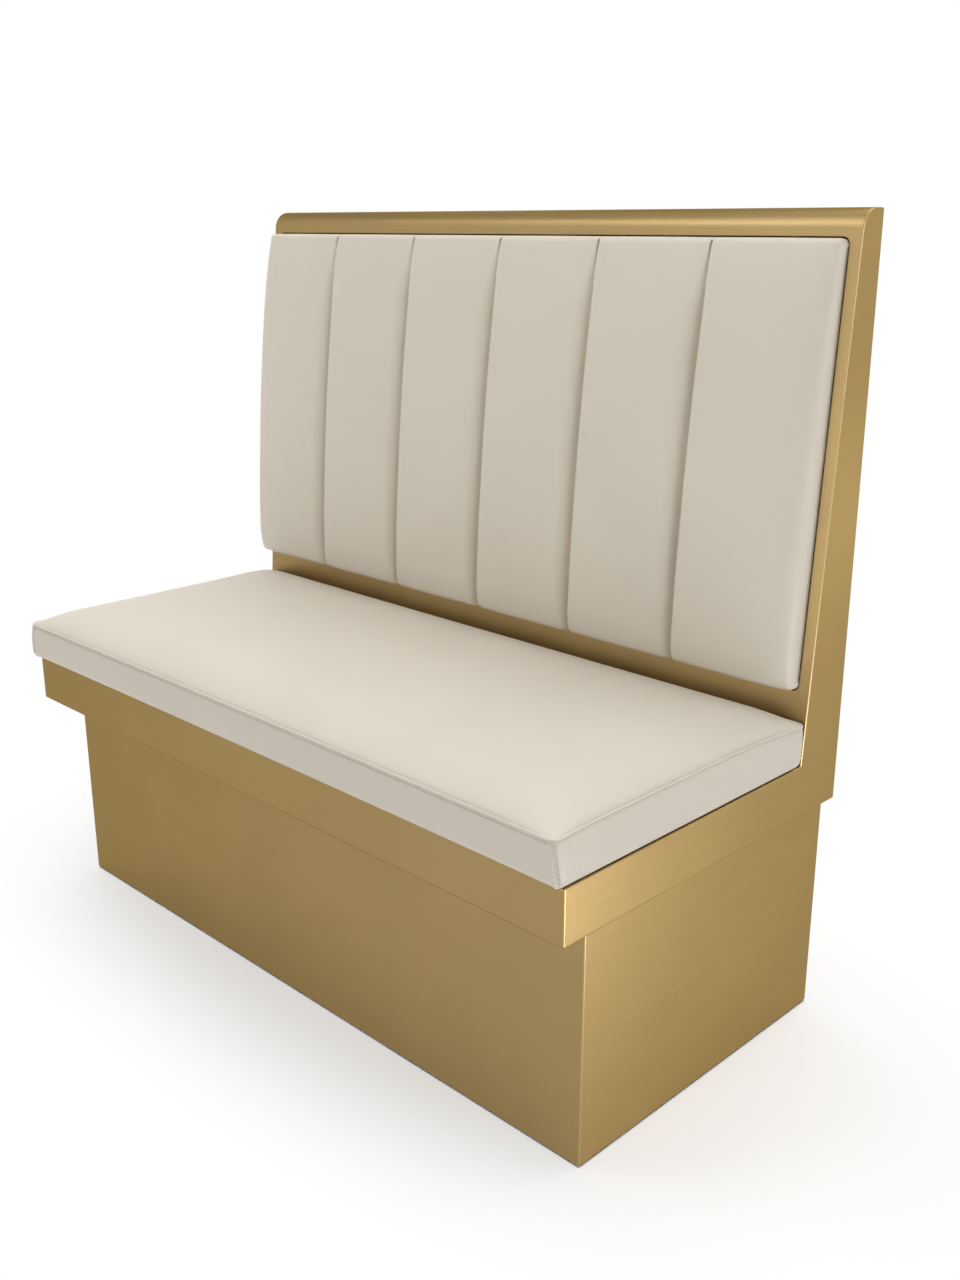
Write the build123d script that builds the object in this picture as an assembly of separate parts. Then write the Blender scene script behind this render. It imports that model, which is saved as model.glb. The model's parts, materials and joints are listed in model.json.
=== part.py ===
"""Restaurant booth seat: a clad plinth, a wider seat frame, a raked back with a bullnose top,
a back pad sewn in upright channels and a loose box cushion. Millimetres, +Z up, front faces -Y.
The origin is on the floor, under the middle of the whole object."""
from build123d import *
import math
import os

# Driving dimensions of the whole
total_height = 1067.0
frame_length = 1112.0
frame_depth = 546.0
back_top_depth = 42.6
apron_bottom = 318.0
apron_top = 389.0
rake_deg = 4.0
bullnose_radius = 27.0

# Plinth and the gap that its feet leave at the floor
plinth_front_setback = 55.0
plinth_end_setback = 16.5
floor_gap = 3.0

# Board and sheet stock
sheet = 1.5
board = 15.0
deck_thickness = 12.0
base_thickness = 12.0
back_panel_thickness = 6.0
fold_radius = 2.5
edge_radius = 2.0

# Battens, blocks and rails
batten = 20.0
pad_batten_depth = 14.0
corner_block_side = 50.0
corner_block_height = 100.0
cross_rail_height = 70.0
cap_rear_return = 20.0
side_return = 3.0

# Back pad and its opening in the face of the back
channel_count = 6
bottom_rail_height = 96.0
top_band_height = 33.0
opening_corner_radius = 9.0
opening_lip_radius = 1.2
pad_corner_radius = 8.0
pad_gap = 1.5
pad_recess = 20.0
pad_board = 12.0
pad_lap_setback = 1.5
pad_crown = 36.0
channel_valley = 9.0
outer_valley = 6.0
channel_flank = 46.0

# Seat cushion
cushion_front_overhang = 8.0
cushion_end_overhang = 6.0
cushion_rear_gap = 2.0
cushion_floor_gap = 2.0
cushion_band = 49.0
cushion_crown = 28.0
cushion_corner_radius = 16.0
cushion_draw_in = 2.5
cushion_bottom_round = 10.0
cushion_crown_reach = 100.0
cushion_board = 12.0
cover_turn_under = 45.0
dust_cloth_gap = 0.5

# Cover leather and the clearances round soft pieces
cover = 1.2
soft_clearance = 0.3

# Levelling feet
pad_radius = 16.0
foot_pad_height = 6.0
foot_pad_round = 1.2
stem_radius = 5.0
stem_length = 50.0
stem_neck_radius = 4.0
stem_neck_length = 3.0
hex_across_flats = 17.0
hex_height = 6.0
running_clearance = 0.08
end_clearance = 0.3
insert_radius = 7.5
insert_length = 20.0
insert_flange_radius = 11.0
insert_flange = 2.0
stem_bore_radius = 6.0
stem_bore_spare = 8.0

# Fasteners and brackets
screw_clearance = 0.05
base_screw_radius = 2.25
base_screw_length = 50.0
deck_screw_radius = 2.0
deck_screw_length = 28.0
pad_screw_length = 25.0
pad_screw_radius = 2.0
screw_head_radius = 4.0
screw_head_height = 2.5
bracket_leg = 40.0
bracket_width = 30.0
bracket_thickness = 3.0
bracket_screw_length = 12.0
grip_length = 120.0
grip_width = 25.0

# One overrun for every cut
overrun = 5.0

# Places worked out from the sizes above
half_length = frame_length / 2
front_y = (cushion_front_overhang - frame_depth) / 2
rear_y = front_y + frame_depth
rake = math.radians(rake_deg)
notch_y = rear_y - back_top_depth - (total_height - apron_top) * math.tan(rake)
stile_width = sheet + board
inner_half = half_length - stile_width
sheet_half = half_length - side_return
base_bottom = apron_bottom + sheet
base_top = base_bottom + base_thickness
deck_bottom = apron_top - deck_thickness
rail_top = apron_top - sheet
opening_bottom = apron_top + bottom_rail_height
opening_top = total_height - top_band_height
plinth_half = half_length - plinth_end_setback
plinth_front_y = front_y + plinth_front_setback
rib_x = frame_length / channel_count
panel_front_y = rear_y - sheet - back_panel_thickness
pad_wall = cover + soft_clearance
pad_right = inner_half - pad_gap
pad_left = pad_lap_setback - half_length
channel_width = (pad_right - pad_left) / channel_count

# The face of the back leans: a plane through the notch, its local Y up the slope, its local Z out of the face
face_plane = Plane(
    origin=(0, notch_y, apron_top),
    x_dir=(1, 0, 0),
    z_dir=(0, -math.cos(rake), math.sin(rake)),
)
slope_bottom = (opening_bottom - apron_top) / math.cos(rake)
slope_top = (opening_top - apron_top) / math.cos(rake)


def block(x0, x1, y0, y1, z0, z1):
    """A box between two corners."""
    centre = Pos((x0 + x1) / 2, (y0 + y1) / 2, (z0 + z1) / 2)
    return centre * Box(x1 - x0, y1 - y0, z1 - z0)


def region(u0, u1, v0, v1):
    """A flat rectangle between two corners, in the plane of a profile."""
    return Pos((u0 + u1) / 2, (v0 + v1) / 2) * Rectangle(u1 - u0, v1 - v0)


def polygon(points):
    return make_face(Polyline(*points, close=True).edges())


def arc(start, middle, end):
    return ThreePointArc(start, middle, end).edges()


def across(profile, x0, x1):
    """A side profile (drawn as y, z) stretched along the length of the booth."""
    return extrude(Plane.YZ.offset(x0) * profile, amount=x1 - x0)


def upward(plan, z0, z1):
    """A plan (drawn as x, y) stretched up."""
    return extrude(Pos(0, 0, z0) * plan, amount=z1 - z0)


def post(radius, z0, z1):
    """A round bar on the Z axis between two heights."""
    return Pos(0, 0, z0) * Cylinder(radius, z1 - z0, align=(Align.CENTER, Align.CENTER, Align.MIN))


def on_face(x0, x1, up0, up1, out0, out1):
    """A box square to the leaning face of the back."""
    return face_plane * block(x0, x1, up0, up1, out0, out1)


def mirrored(shape):
    return mirror(shape, about=Plane.YZ)


def group(pieces):
    return Compound(children=[solid for piece in pieces for solid in piece.solids()])


def round_corners(profile, corners, radius):
    """Rounds the corners of a flat profile that lie at the given points."""
    def is_chosen(vertex):
        return any(math.hypot(vertex.X - u, vertex.Y - v) < sheet / 2 for u, v in corners)

    return fillet([vertex for vertex in profile.vertices() if is_chosen(vertex)], radius)


def point_on_rake(z, behind):
    """The y of the line that lies a given depth behind the leaning face, at a height."""
    return notch_y + (z - apron_top) * math.tan(rake) + behind / math.cos(rake)


def side_profile():
    """The outline of the booth's side above the plinth: an L with a leaning front and a bullnose."""
    arc_start_z = total_height - bullnose_radius * (1 - math.sin(rake))
    arc_start_y = point_on_rake(arc_start_z, 0)
    centre_y = arc_start_y + bullnose_radius * math.cos(rake)
    centre_z = total_height - bullnose_radius
    middle_angle = (math.radians(270) - rake) / 2
    arc_middle = (
        centre_y + bullnose_radius * math.cos(middle_angle),
        centre_z + bullnose_radius * math.sin(middle_angle),
    )
    corners = [
        (front_y, apron_bottom),
        (rear_y, apron_bottom),
        (rear_y, total_height),
        (notch_y, apron_top),
        (front_y, apron_top),
    ]
    lines = Polyline((centre_y, total_height), corners[2], corners[1], corners[0], corners[4], corners[3],
                     (arc_start_y, arc_start_z))
    nose = ThreePointArc((arc_start_y, arc_start_z), arc_middle, (centre_y, total_height))
    face = make_face(lines.edges() + nose.edges())
    return round_corners(face, corners, fold_radius), arc_start_z


def plinth_outline():
    outline = region(-plinth_half, plinth_half, plinth_front_y, rear_y)
    return fillet(outline.vertices(), fold_radius)


outer_side, nose_start_z = side_profile()
inner_side = offset(outer_side, amount=-sheet)
side_skin = outer_side - inner_side
outer_plan = plinth_outline()
inner_plan = offset(outer_plan, amount=-sheet)
plan_skin = outer_plan - inner_plan


def inner_slice(y0, y1, z0, z1):
    """The part of the side profile inside the cladding that lies between two corners."""
    return inner_side & region(y0, y1, z0, z1)


def skin_slice(y0, y1, z0, z1):
    """The part of the cladding's cut edge that lies between two corners."""
    return side_skin & region(y0, y1, z0, z1)


def plinth_boards():
    """Four boards inside the plinth's cladding and two dividers across it."""
    low_y = plinth_front_y + sheet + board
    high_y = rear_y - sheet - board
    side_x = plinth_half - sheet - board
    front = inner_plan & region(-plinth_half, plinth_half, plinth_front_y, low_y)
    rear = inner_plan & region(-plinth_half, plinth_half, high_y, rear_y)
    right = inner_plan & region(side_x, plinth_half, low_y, high_y)
    divider = region(rib_x - board / 2, rib_x + board / 2, low_y, high_y)
    right_board = upward(right, floor_gap, base_bottom)
    right_divider = upward(divider, floor_gap, base_bottom)
    return {
        "plinth_front_board": upward(front, floor_gap, base_bottom),
        "plinth_rear_board": upward(rear, floor_gap, base_bottom),
        "plinth_right_board": right_board,
        "plinth_left_board": mirrored(right_board),
        "plinth_right_divider": right_divider,
        "plinth_left_divider": mirrored(right_divider),
    }


def plinth_sheets():
    """The plinth's cladding: front and rear sheets folded round the corners, and the ends between them."""
    low_y = plinth_front_y + batten
    high_y = rear_y - batten
    front = plan_skin & region(-plinth_half, plinth_half, plinth_front_y, low_y)
    rear = plan_skin & region(-plinth_half, plinth_half, high_y, rear_y)
    right = plan_skin & region(0, plinth_half, low_y, high_y)
    right_sheet = upward(right, floor_gap, base_bottom)
    return {
        "plinth_front_sheet": upward(front, floor_gap, apron_bottom),
        "plinth_rear_sheet": upward(rear, floor_gap, apron_bottom),
        "plinth_right_sheet": right_sheet,
        "plinth_left_sheet": mirrored(right_sheet),
    }


def foot_places():
    """Name and place of each levelling foot, under the middle of each corner block."""
    inset = sheet + board + corner_block_side / 2
    x = plinth_half - inset
    y_front = plinth_front_y + inset
    y_rear = rear_y - inset
    return {
        "front_left": (-x, y_front),
        "front_right": (x, y_front),
        "rear_left": (-x, y_rear),
        "rear_right": (x, y_rear),
    }


# Heights of a foot's hexagon, the insert above it and the wood above the insert's flange
hex_top = foot_pad_height + hex_height
insert_top = hex_top + insert_length
wood_bottom = hex_top + insert_flange


def foot_pad():
    """The round pad on the floor, with a socket for the stem's neck."""
    socket_bottom = foot_pad_height - stem_neck_length - end_clearance
    pad = fillet(post(pad_radius, 0, foot_pad_height).edges(), foot_pad_round)
    return pad - post(stem_neck_radius + running_clearance, socket_bottom, foot_pad_height + overrun)


def foot_stem():
    """The screw stem: a neck in the pad's socket, a hexagon for a spanner and the thread."""
    hexagon = RegularPolygon(hex_across_flats / 2, 6, major_radius=False)
    nut = upward(hexagon, foot_pad_height, hex_top)
    neck = post(stem_neck_radius, foot_pad_height - stem_neck_length, foot_pad_height)
    return neck + nut + post(stem_radius, hex_top, hex_top + stem_length)


def foot_insert():
    """The threaded insert that the stem turns in, driven up into the corner block."""
    body = post(insert_flange_radius, hex_top, wood_bottom) + post(insert_radius, hex_top, insert_top)
    return body - post(stem_radius + running_clearance, 0, insert_top + overrun)


def corner_block():
    """The block in a corner of the plinth, bored for the insert and for the stem above it."""
    half = corner_block_side / 2
    wood = block(-half, half, -half, half, wood_bottom, wood_bottom + corner_block_height)
    wood -= post(insert_radius + screw_clearance, 0, insert_top)
    return wood - post(stem_bore_radius, 0, hex_top + stem_length + stem_bore_spare)


def levelling_feet():
    pieces = {}
    blocks = []
    inserts = []
    for name, (x, y) in foot_places().items():
        at = Pos(x, y, 0)
        pieces["foot_pad_" + name] = at * foot_pad()
        pieces["foot_stem_" + name] = at * foot_stem()
        inserts.append(at * foot_insert())
        blocks.append(at * corner_block())
    pieces["plinth_corner_blocks"] = group(blocks)
    pieces["foot_inserts"] = group(inserts)
    return pieces


def seat_frame():
    """A box of boards on the plinth: base, rails, ledgers and the deck that carries the cushion."""
    rail_front_y = front_y + stile_width
    rear_rail_y = notch_y - board
    ledger_bottom = deck_bottom - batten
    side_rail = across(inner_slice(front_y, notch_y, base_top, rail_top), inner_half, half_length - sheet)
    cross = block(rib_x - board / 2, rib_x + board / 2, rail_front_y + batten, rear_rail_y,
                  base_top, deck_bottom)
    side_ledger = block(inner_half - batten, inner_half, rail_front_y + batten, rear_rail_y,
                        ledger_bottom, deck_bottom)
    front_ledger = block(-inner_half, inner_half, rail_front_y, rail_front_y + batten,
                         ledger_bottom, deck_bottom)
    return {
        "seat_base_board": across(inner_slice(front_y, rear_y, apron_bottom, base_top),
                                  -half_length + sheet, half_length - sheet),
        "seat_front_rail": across(inner_slice(front_y, rail_front_y, base_top, rail_top),
                                  -inner_half, inner_half),
        "seat_right_rail": side_rail,
        "seat_left_rail": mirrored(side_rail),
        "seat_rear_rail": block(-inner_half, inner_half, rear_rail_y, notch_y, base_top, deck_bottom),
        "seat_right_cross_rail": cross,
        "seat_left_cross_rail": mirrored(cross),
        "seat_deck_ledgers": group([front_ledger, side_ledger, mirrored(side_ledger)]),
        "seat_deck": block(-inner_half, inner_half, rail_front_y, notch_y, deck_bottom, apron_top),
    }


# Heights of the cross rails behind the pad, as shares of the opening's height
rail_height_shares = (1 / 3, 2 / 3)


def back_frame():
    """The upright frame of the back: ribs, rails, battens for the pad and the rear panel."""
    end_rib = across(inner_slice(notch_y, rear_y, base_top, total_height), inner_half, half_length - sheet)
    middle_profile = polygon([
        (notch_y, base_top),
        (panel_front_y, base_top),
        (panel_front_y, opening_top),
        (point_on_rake(opening_top, pad_recess), opening_top),
        (point_on_rake(deck_bottom, pad_recess), deck_bottom),
        (notch_y, deck_bottom),
    ])
    middle_rib = across(middle_profile, rib_x - board / 2, rib_x + board / 2)
    pad_batten = on_face(inner_half - batten, inner_half, slope_bottom, slope_top,
                         -pad_recess - pad_batten_depth, -pad_recess)
    rails = []
    for slope_share in rail_height_shares:
        middle = slope_bottom + (slope_top - slope_bottom) * slope_share
        low = middle - cross_rail_height / 2
        high = middle + cross_rail_height / 2
        end_rail = on_face(rib_x + board / 2, inner_half - batten, low, high,
                           -pad_recess - board, -pad_recess)
        rails.append(end_rail)
        rails.append(mirrored(end_rail))
        rails.append(on_face(-rib_x + board / 2, rib_x - board / 2, low, high,
                             -pad_recess - board, -pad_recess))
    return {
        "back_right_rib": end_rib,
        "back_left_rib": mirrored(end_rib),
        "back_right_middle_rib": middle_rib,
        "back_left_middle_rib": mirrored(middle_rib),
        "back_top_rail": across(inner_slice(notch_y, rear_y, opening_top, total_height),
                                -inner_half, inner_half),
        "back_bottom_rail": on_face(-inner_half, inner_half, 0, slope_bottom, -pad_recess, -sheet),
        "back_pad_battens": group([pad_batten, mirrored(pad_batten)]),
        "back_cross_rails": group(rails),
        "back_panel": block(-inner_half, inner_half, panel_front_y, rear_y - sheet, base_top, opening_top),
    }


def opening_lip(face_sheet):
    """The edges round the pad's opening on the outer side of the face sheet."""
    def is_lip(edge):
        place = face_plane.to_local_coords(edge.center())
        on_outside = abs(place.Z) < sheet / 2
        in_height = slope_bottom - sheet < place.Y < slope_top + sheet
        return on_outside and in_height and abs(place.X) < inner_half + side_return / 2

    return [edge for edge in face_sheet.edges() if is_lip(edge)]


def body_sheets():
    """The cladding above the plinth: side panels folded all round, and the sheets between them."""
    face_blank = across(skin_slice(notch_y - overrun, rear_y - board, apron_top, nose_start_z),
                        -sheet_half, sheet_half)
    opening = region(-inner_half, inner_half, slope_bottom, slope_top)
    opening = fillet(opening.vertices(), opening_corner_radius)
    face_sheet = face_blank - extrude(face_plane * opening, amount=overrun, both=True)
    face_sheet = fillet(opening_lip(face_sheet), opening_lip_radius)

    panel = across(outer_side, inner_half, half_length)
    panel = fillet(panel.faces().sort_by(Axis.X)[-1].edges(), edge_radius)
    panel -= across(inner_side, inner_half - overrun, half_length - sheet)
    panel -= face_blank

    cap_low_z = total_height - cap_rear_return
    cap = skin_slice(notch_y, rear_y - board, nose_start_z, total_height)
    cap += skin_slice(rear_y - board, rear_y, cap_low_z, total_height)
    apron = skin_slice(front_y, front_y + stile_width, apron_bottom, apron_top)
    apron += skin_slice(front_y, plinth_front_y + sheet, apron_bottom, base_bottom)
    rear = skin_slice(rear_y - sheet, rear_y, apron_bottom, cap_low_z)
    return {
        "right_side_panel": panel,
        "left_side_panel": mirrored(panel),
        "back_face_sheet": face_sheet,
        "back_top_cap": across(cap, -inner_half, inner_half),
        "apron_front_sheet": across(apron, -inner_half, inner_half),
        "rear_sheet": across(rear, -inner_half, inner_half),
    }


# The pad's crown, as shares of its height up the face and of its full thickness, and the shape of one
# channel, as shares of its valley's depth and of its flank's width
crown_height_shares = (0, 0.012, 0.035, 0.09, 0.24, 0.42, 0.6, 0.79, 0.91, 0.968, 0.992, 1)
crown_rise_shares = (0.5, 0.66, 0.8, 0.93, 1, 0.99, 0.92, 0.76, 0.56, 0.42, 0.3, 0.16)
least_valley_share = 0.35
shoulder_share = 0.86
bend_share = 0.68
bend_reach_share = 0.42


def channel_section(index, up, low, rise, inset):
    """One cut across a channel: flat behind, upright sides, soft flanks and a broad low crown."""
    left = pad_left + channel_width * index + inset
    right = pad_left + channel_width * (index + 1) - inset
    crest = rise - inset
    valley_share = least_valley_share + (1 - least_valley_share) * rise / pad_crown
    left_valley = outer_valley if index == 0 else channel_valley
    right_valley = outer_valley if index == channel_count - 1 else channel_valley
    left_seam = crest - left_valley * valley_share
    right_seam = crest - right_valley * valley_share
    flank = channel_flank - inset
    shoulder = crest - channel_valley * valley_share * (1 - shoulder_share)
    left_bend = left_seam + (shoulder - left_seam) * bend_share
    right_bend = right_seam + (shoulder - right_seam) * bend_share
    bend_reach = flank * bend_reach_share
    outline = Polyline((left, left_seam), (left, low), (right, low), (right, right_seam)).edges()
    outline += arc((right, right_seam), (right - bend_reach, right_bend), (right - flank, shoulder))
    outline += arc((right - flank, shoulder), ((left + right) / 2, crest), (left + flank, shoulder))
    outline += arc((left + flank, shoulder), (left + bend_reach, left_bend), (left, left_seam))
    across_slope = Plane(
        origin=face_plane.from_local_coords((0, up, 0)),
        x_dir=(1, 0, 0),
        z_dir=(0, -math.sin(rake), -math.cos(rake)),
    )
    return across_slope * make_face(outline)


def channel(index, low, inset):
    """One upright channel of the back pad, from its board to its crown. The first one laps over the
    left stile, up to the end of the booth, so behind the lap it stops short of the face sheet."""
    bottom = slope_bottom + pad_gap + inset
    height = slope_top - slope_bottom - 2 * (pad_gap + inset)
    sections = []
    for height_share, rise_share in zip(crown_height_shares, crown_rise_shares):
        sections.append(channel_section(
            index,
            bottom + height * height_share,
            low,
            pad_crown * rise_share,
            inset,
        ))
    behind_lap = on_face(-half_length - overrun, -pad_right + inset, 0, slope_top + overrun,
                         low - overrun, soft_clearance + inset)
    return loft(sections, ruled=True) - behind_lap


def back_pad():
    """The pad that fills the opening: board, foam strips and the sewn cover over both."""
    bottom = slope_bottom + pad_gap
    top = slope_top - pad_gap
    front_outline = fillet(region(pad_left, pad_right, bottom, top).vertices(), pad_corner_radius)
    rear_outline = fillet(region(-pad_right, pad_right, bottom, top).vertices(), pad_corner_radius)
    envelope = extrude(face_plane * front_outline, amount=pad_crown + overrun)
    envelope += extrude(face_plane * rear_outline, amount=-pad_recess)
    board_front = pad_board - pad_recess
    form = channel(0, -pad_recess, 0)
    for index in range(1, channel_count):
        form += channel(index, -pad_recess, 0)
    form = form & envelope
    foam = []
    for index in range(channel_count):
        form -= channel(index, board_front - soft_clearance, cover)
        foam.append(channel(index, board_front, pad_wall + soft_clearance))
    form -= on_face(-pad_right + cover, pad_right - cover, bottom + cover, top - cover,
                    -pad_recess - overrun, board_front)
    wood = on_face(-pad_right + pad_wall, pad_right - pad_wall, bottom + pad_wall, top - pad_wall,
                   -pad_recess, board_front - soft_clearance)
    return {
        "back_pad_cover": form,
        "back_pad_foam": group(foam),
        "back_pad_board": wood,
    }


def cushion_outline(setback, z):
    """The cushion's plan: rounded corners, and sides that draw in a little between them."""
    right = half_length + cushion_end_overhang - setback
    front = front_y - cushion_front_overhang + setback
    rear = notch_y - cushion_rear_gap - setback
    radius = max(cushion_corner_radius - setback / 2, cushion_corner_radius / 2)
    middle = (front + rear) / 2
    lean = radius * (1 - math.sqrt(0.5))
    drawn = right - cushion_draw_in
    inner = right - radius
    sides = [
        arc((-inner, front), (0, front + cushion_draw_in), (inner, front)),
        arc((inner, front), (right - lean, front + lean), (right, front + radius)),
        arc((right, front + radius), (drawn, middle), (right, rear - radius)),
        arc((right, rear - radius), (right - lean, rear - lean), (inner, rear)),
        Line((inner, rear), (-inner, rear)).edges(),
        arc((-inner, rear), (-right + lean, rear - lean), (-right, rear - radius)),
        arc((-right, rear - radius), (-drawn, middle), (-right, front + radius)),
        arc((-right, front + radius), (-right + lean, front + lean), (-inner, front)),
    ]
    return Pos(0, 0, z) * make_face([edge for side in sides for edge in side])


# The cushion's crown, as shares of its reach in from the seam and of its rise
crown_reach_shares = (0, 0.04, 0.12, 0.25, 0.45, 0.7, 1)
crown_lift_shares = (0, 0.23, 0.46, 0.7, 0.88, 0.975, 1)
round_setback_share = 0.4
round_height_share = 0.3


def cushion_form(inset, low):
    """The cushion's outer form, or one that lies inside it by an inset, down to a height."""
    bottom = apron_top + cushion_floor_gap
    seam = bottom + cushion_band
    round_z = bottom + cushion_bottom_round
    sections = []
    if inset == 0:
        sections.append(cushion_outline(cushion_bottom_round, bottom))
        sections.append(cushion_outline(cushion_bottom_round * round_setback_share,
                                        bottom + cushion_bottom_round * round_height_share))
        sections.append(cushion_outline(cushion_draw_in, round_z))
    else:
        sections.append(cushion_outline(cushion_bottom_round + inset, low))
        sections.append(cushion_outline(cushion_draw_in + inset, max(round_z, low + inset)))
    for reach_share, lift_share in zip(crown_reach_shares, crown_lift_shares):
        setback = inset + cushion_crown_reach * reach_share
        sections.append(cushion_outline(setback, seam + cushion_crown * lift_share - inset))
    return loft(sections, ruled=True)


def seat_cushion():
    """The loose seat cushion: board, foam, boxed cover turned under the board, and dust cloth."""
    bottom = apron_top + cushion_floor_gap
    board_bottom = bottom + pad_wall
    board_top = board_bottom + cushion_board
    board_setback = cushion_bottom_round + pad_wall + soft_clearance
    cloth_setback = cover_turn_under + dust_cloth_gap
    skin = cushion_form(0, bottom) - cushion_form(cover, bottom + cover)
    skin -= upward(cushion_outline(cover_turn_under, 0), bottom - overrun, bottom + pad_wall)
    return {
        "seat_cushion_cover": skin,
        "seat_cushion_foam": cushion_form(pad_wall + soft_clearance, board_top + soft_clearance),
        "seat_cushion_board": upward(cushion_outline(board_setback, 0), board_bottom, board_top),
        "seat_cushion_dust_cloth": upward(cushion_outline(cloth_setback, 0), bottom, board_bottom),
    }


def screw(radius, length, head_radius, head_height):
    """A screw along Z with the underside of its head at zero, its shank pointing down."""
    return post(radius, -length, 0) + post(head_radius, 0, head_height)


# Where the screws stand, as shares of half the plinth's length and of a bracket's leg
base_screw_shares = (-0.8, -0.3, 0.3, 0.8)
bracket_hole_share = 0.65


def base_screw_places():
    """Screws down through the base board into the edges of the plinth's boards."""
    front = plinth_front_y + sheet + board / 2
    rear = rear_y - sheet - board / 2
    side = plinth_half - sheet - board / 2
    places = []
    for share in base_screw_shares:
        places.append((side * share, front))
        places.append((side * share, rear))
    for x in (-side, side):
        places.append((x, (front + rear) / 2))
    return places


def deck_screw_places():
    """Screws down through the deck into the rails and ledgers."""
    front = front_y + stile_width + batten / 2
    rear = notch_y - board / 2
    middle = (front + rear) / 2
    side = inner_half - batten / 2
    return [(x, y) for x in (-side, -rib_x, rib_x, side) for y in (front, middle, rear)]


def pad_screw_places():
    """Screws from behind, through the cross rails, into the pad's board."""
    places = []
    for slope_share in rail_height_shares:
        up = slope_bottom + (slope_top - slope_bottom) * slope_share
        for x in (-2 * rib_x, -rib_x / 2, rib_x / 2, 2 * rib_x):
            places.append((x, up))
    return places


def brackets():
    """Steel angles that hold the ribs to the base board, and the screws through their legs."""
    y0 = panel_front_y - bracket_width
    y1 = panel_front_y
    inner_faces = (inner_half, rib_x - board / 2)
    angles = []
    screws = []
    for face_x in inner_faces:
        upright = block(face_x - bracket_thickness, face_x, y0, y1, base_top, base_top + bracket_leg)
        foot = block(face_x - bracket_leg, face_x, y0, y1, base_top, base_top + bracket_thickness)
        angle = upright + foot
        reach = bracket_leg * bracket_hole_share
        middle = (y0 + y1) / 2
        one = screw(pad_screw_radius, bracket_screw_length, screw_head_radius, screw_head_height)
        down = Pos(face_x - reach, middle, base_top + bracket_thickness) * one
        sideways = Pos(face_x - bracket_thickness, middle, base_top + reach) * Rot(0, -90, 0) * one
        for piece in (down, sideways):
            screws.append(piece)
            screws.append(mirrored(piece))
        angles.append(angle)
        angles.append(mirrored(angle))
    return angles, screws


def drill(shape, places, radius, depth_top, depth_bottom):
    """Straight holes down through a shape, a little wider than the screw."""
    for x, y in places:
        shape = shape - Pos(x, y, 0) * post(radius + screw_clearance, depth_bottom, depth_top)
    return shape


def countersunk(x, y, top, radius, length):
    """A screw whose flat head finishes level with a board's top."""
    one = screw(radius, length - screw_head_height, screw_head_radius, screw_head_height)
    return Pos(x, y, top - screw_head_height) * one


def fit_screws(nodes):
    """Adds the screws and cuts their holes in what they pass through."""
    base_screws = []
    for x, y in base_screw_places():
        base_screws.append(countersunk(x, y, base_top, base_screw_radius, base_screw_length))
    base_tip = base_top - base_screw_length
    for name in ("seat_base_board", "plinth_front_board", "plinth_rear_board",
                 "plinth_right_board", "plinth_left_board"):
        nodes[name] = drill(nodes[name], base_screw_places(), base_screw_radius, base_top + overrun, base_tip)
    nodes["seat_base_board"] = drill(nodes["seat_base_board"], base_screw_places(), screw_head_radius,
                                     base_top + overrun, base_top - screw_head_height)
    nodes["base_screws"] = group(base_screws)

    deck_screws = []
    for x, y in deck_screw_places():
        deck_screws.append(countersunk(x, y, apron_top, deck_screw_radius, deck_screw_length))
    deck_tip = apron_top - deck_screw_length
    for name in ("seat_deck", "seat_deck_ledgers", "seat_rear_rail",
                 "seat_right_cross_rail", "seat_left_cross_rail"):
        nodes[name] = drill(nodes[name], deck_screw_places(), deck_screw_radius,
                            apron_top + overrun, deck_tip)
    nodes["seat_deck"] = drill(nodes["seat_deck"], deck_screw_places(), screw_head_radius,
                               apron_top + overrun, apron_top - screw_head_height)
    nodes["deck_screws"] = group(deck_screws)

    pad_screws = []
    behind = Rot(180, 0, 0) * screw(pad_screw_radius, pad_screw_length, screw_head_radius, screw_head_height)
    hole = post(pad_screw_radius + screw_clearance, 0, pad_screw_length)
    for x, up in pad_screw_places():
        at = face_plane.location * Pos(x, up, -pad_recess - board)
        pad_screws.append(at * behind)
        nodes["back_cross_rails"] = nodes["back_cross_rails"] - at * hole
        nodes["back_pad_board"] = nodes["back_pad_board"] - at * hole
    nodes["back_pad_screws"] = group(pad_screws)

    angles, bracket_screws = brackets()
    holes = []
    for one in bracket_screws:
        holes.append(offset(one, amount=screw_clearance))
    cut = group(holes)
    nodes["back_brackets"] = group([angle - cut for angle in angles])
    nodes["bracket_screws"] = group(bracket_screws)
    for name in ("seat_base_board", "back_right_rib", "back_left_rib",
                 "back_right_middle_rib", "back_left_middle_rib"):
        nodes[name] = nodes[name] - cut


def grip_strips():
    """Flat rubber strips on the deck that keep the cushion from sliding."""
    thickness = cushion_floor_gap - soft_clearance
    front = front_y + stile_width + 2 * batten
    rear = notch_y - board - batten
    strips = []
    for x in (-2 * rib_x, 0, 2 * rib_x):
        for y in (front, rear - grip_width):
            strips.append(block(x - grip_length / 2, x + grip_length / 2, y, y + grip_width,
                                apron_top, apron_top + thickness))
    return {"cushion_grip_strips": group(strips)}


def build():
    nodes = {}
    nodes.update(plinth_boards())
    nodes.update(plinth_sheets())
    nodes.update(levelling_feet())
    nodes.update(seat_frame())
    nodes.update(back_frame())
    nodes.update(body_sheets())
    nodes.update(back_pad())
    nodes.update(seat_cushion())
    nodes.update(grip_strips())
    fit_screws(nodes)
    return nodes


os.makedirs("parts", exist_ok=True)
for node_name, shape in build().items():
    export_step(shape, os.path.join("parts", node_name + ".step"))
    print(node_name, len(shape.solids()), round(shape.volume))
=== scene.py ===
"""Looks of the restaurant booth seat: satin brass cladding, a back pad sewn in upright channels and a
boxed seat cushion in cream leather, on a pale studio floor. Metres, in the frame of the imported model."""
import json
import math

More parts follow.
